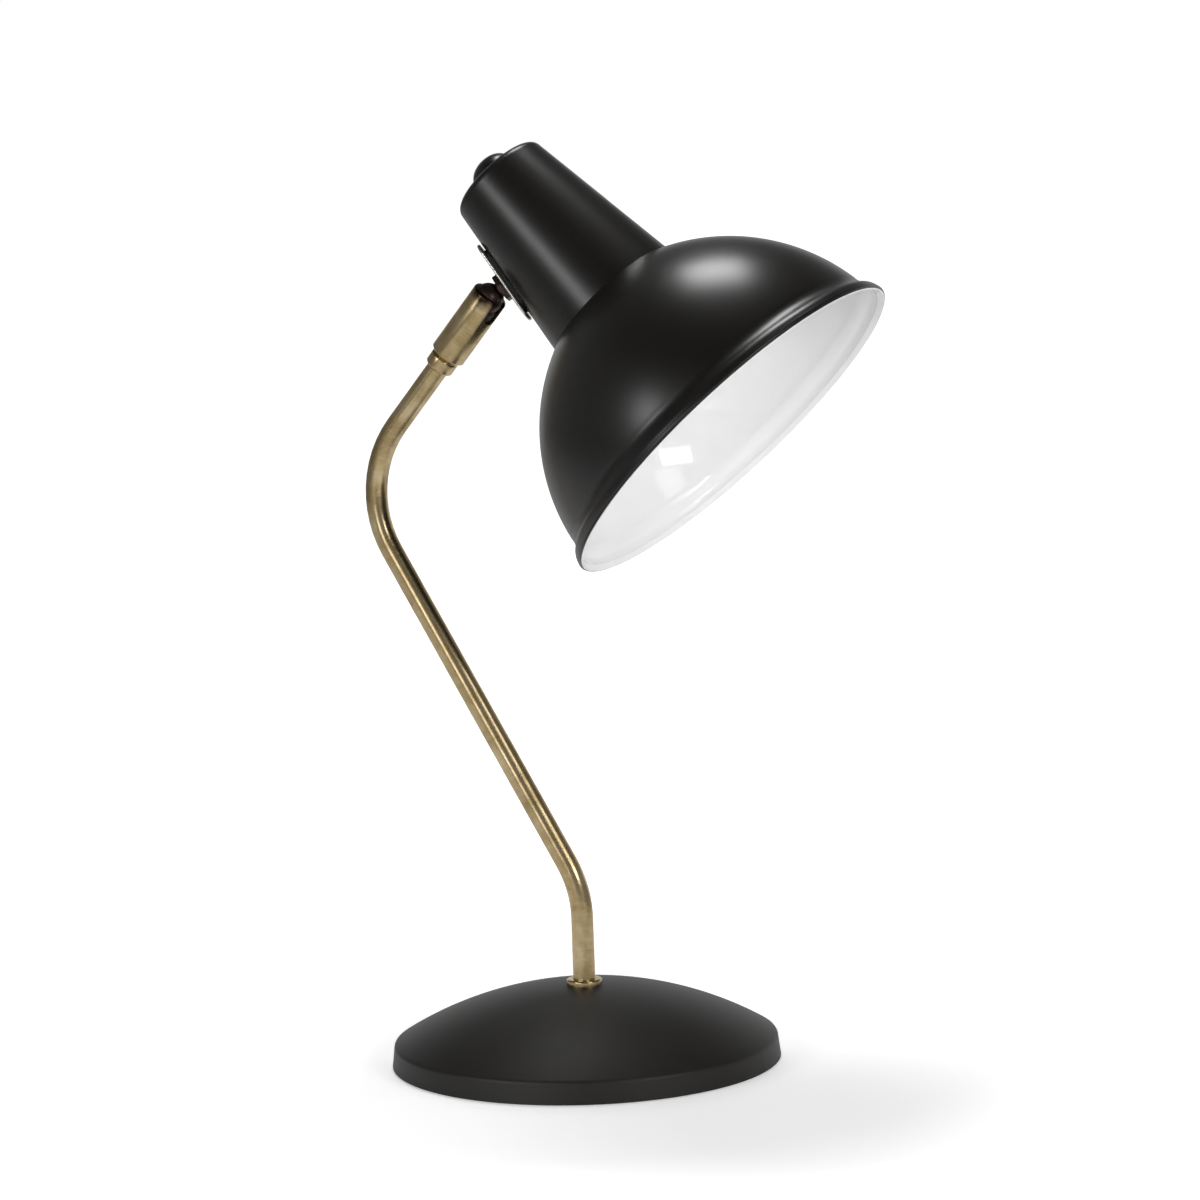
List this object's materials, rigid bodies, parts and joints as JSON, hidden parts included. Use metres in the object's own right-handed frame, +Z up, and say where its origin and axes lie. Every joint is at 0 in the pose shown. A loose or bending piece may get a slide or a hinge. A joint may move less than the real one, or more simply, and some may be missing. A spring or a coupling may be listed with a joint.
{
  "type": "desk lamp",
  "caption": "Adjustable desk lamp: weighted round foot, cranked brass stem, swivel ball joint, and a dished black shade on a tapered cup with a push button.",
  "frame": {"origin": "middle of the foot's underside, on the table, on the axis of the stem's foot", "axes": "+Z up out of the table, +X the way the lamp leans and lights, +Y across, so that the stem lies in the XZ plane"},
  "size_m": [0.2408, 0.1921, 0.4142],
  "materials": {
    "cover_paint": "fine satin powder coat, black",
    "ballast_iron": "rough, as cast",
    "pad_rubber": "matt black foam rubber",
    "bushing_plastic": "matt black",
    "antique_brass": "brushed antique brass",
    "zinc_steel": "zinc plated",
    "spring_steel": "hard drawn wire",
    "gunmetal": "dark bronze plated",
    "bright_nickel": "bright nickel plated",
    "seat_plastic": "natural acetal",
    "shade_paint": "semi-matt black outside, gloss white inside",
    "cup_paint": "semi-matt black",
    "saddle_rubber": "matt black",
    "holder_plastic": "matt black thermoset",
    "contact_brass": "bright rolled brass",
    "bulb_glass": "opal white",
    "cap_metal": "bright rolled",
    "cap_glass": "black vitreous insulator",
    "solder": "dull solder",
    "button_plastic": "gloss black",
    "switch_plastic": "matt black"
  },
  "bodies": {
    "stand": {"base_cover": "cover_paint", "base_weight": "ballast_iron", "bottom_pad": "pad_rubber", "cord_bushing": "bushing_plastic", "seat_ring": "antique_brass", "stem_tube": "antique_brass", "foot_washer": "zinc_steel", "lock_washer": "zinc_steel", "foot_nut": "zinc_steel", "collar_ring": "antique_brass", "pivot_nut": "zinc_steel"},
    "socket": {"swivel_socket": "antique_brass", "spring_washer": "zinc_steel", "friction_spring": "spring_steel", "friction_seat": "seat_plastic"},
    "ball": {"swivel_ball": "gunmetal"},
    "head": {"swivel_neck": "gunmetal", "neck_lock_nut": "gunmetal", "mount_strap": "bright_nickel", "strap_screws": "bright_nickel", "strap_nuts": "zinc_steel", "neck_washer": "zinc_steel", "neck_nut": "zinc_steel", "lamp_cup": "cup_paint", "saddle_pad": "saddle_rubber", "shade": "shade_paint", "holder_bracket": "zinc_steel", "lampholder": "holder_plastic", "shade_ring": "holder_plastic", "screw_shell": "contact_brass", "centre_contact": "contact_brass", "terminal_screws": "contact_brass", "bulb_glass": "bulb_glass", "bulb_cap": "cap_metal", "bulb_insulator": "cap_glass", "bulb_contact": "solder", "switch_body": "switch_plastic", "button_spring": "spring_steel"},
    "button": {"push_button": "button_plastic"}
  },
  "joints": [
    {"name": "socket_pan", "type": "hinge", "parent": "stand", "child": "socket", "pos_m": [-0.0361, 0, 0.34544], "axis": [0.6435, 0, 0.7655], "range_deg": [-165, 165]},
    {"name": "head_tilt", "type": "hinge", "parent": "socket", "child": "ball", "pos_m": [-0.0361, 0, 0.34544], "axis": [-0.644, 0.5405, 0.5414], "range_deg": [-57, 9.5]},
    {"name": "head_roll", "type": "hinge", "parent": "ball", "child": "head", "pos_m": [-0.0361, 0, 0.34544], "axis": [0.7556, 0.3389, 0.5605], "range_deg": [-165, 165]},
    {"name": "button_press", "type": "slide", "parent": "head", "child": "button", "axis": [0.7046, 0, -0.7096], "range_m": [0, 0.003], "stiffness_N_per_m": 500, "springref_m": -0.002, "deforming": ["button_spring"]}
  ]
}
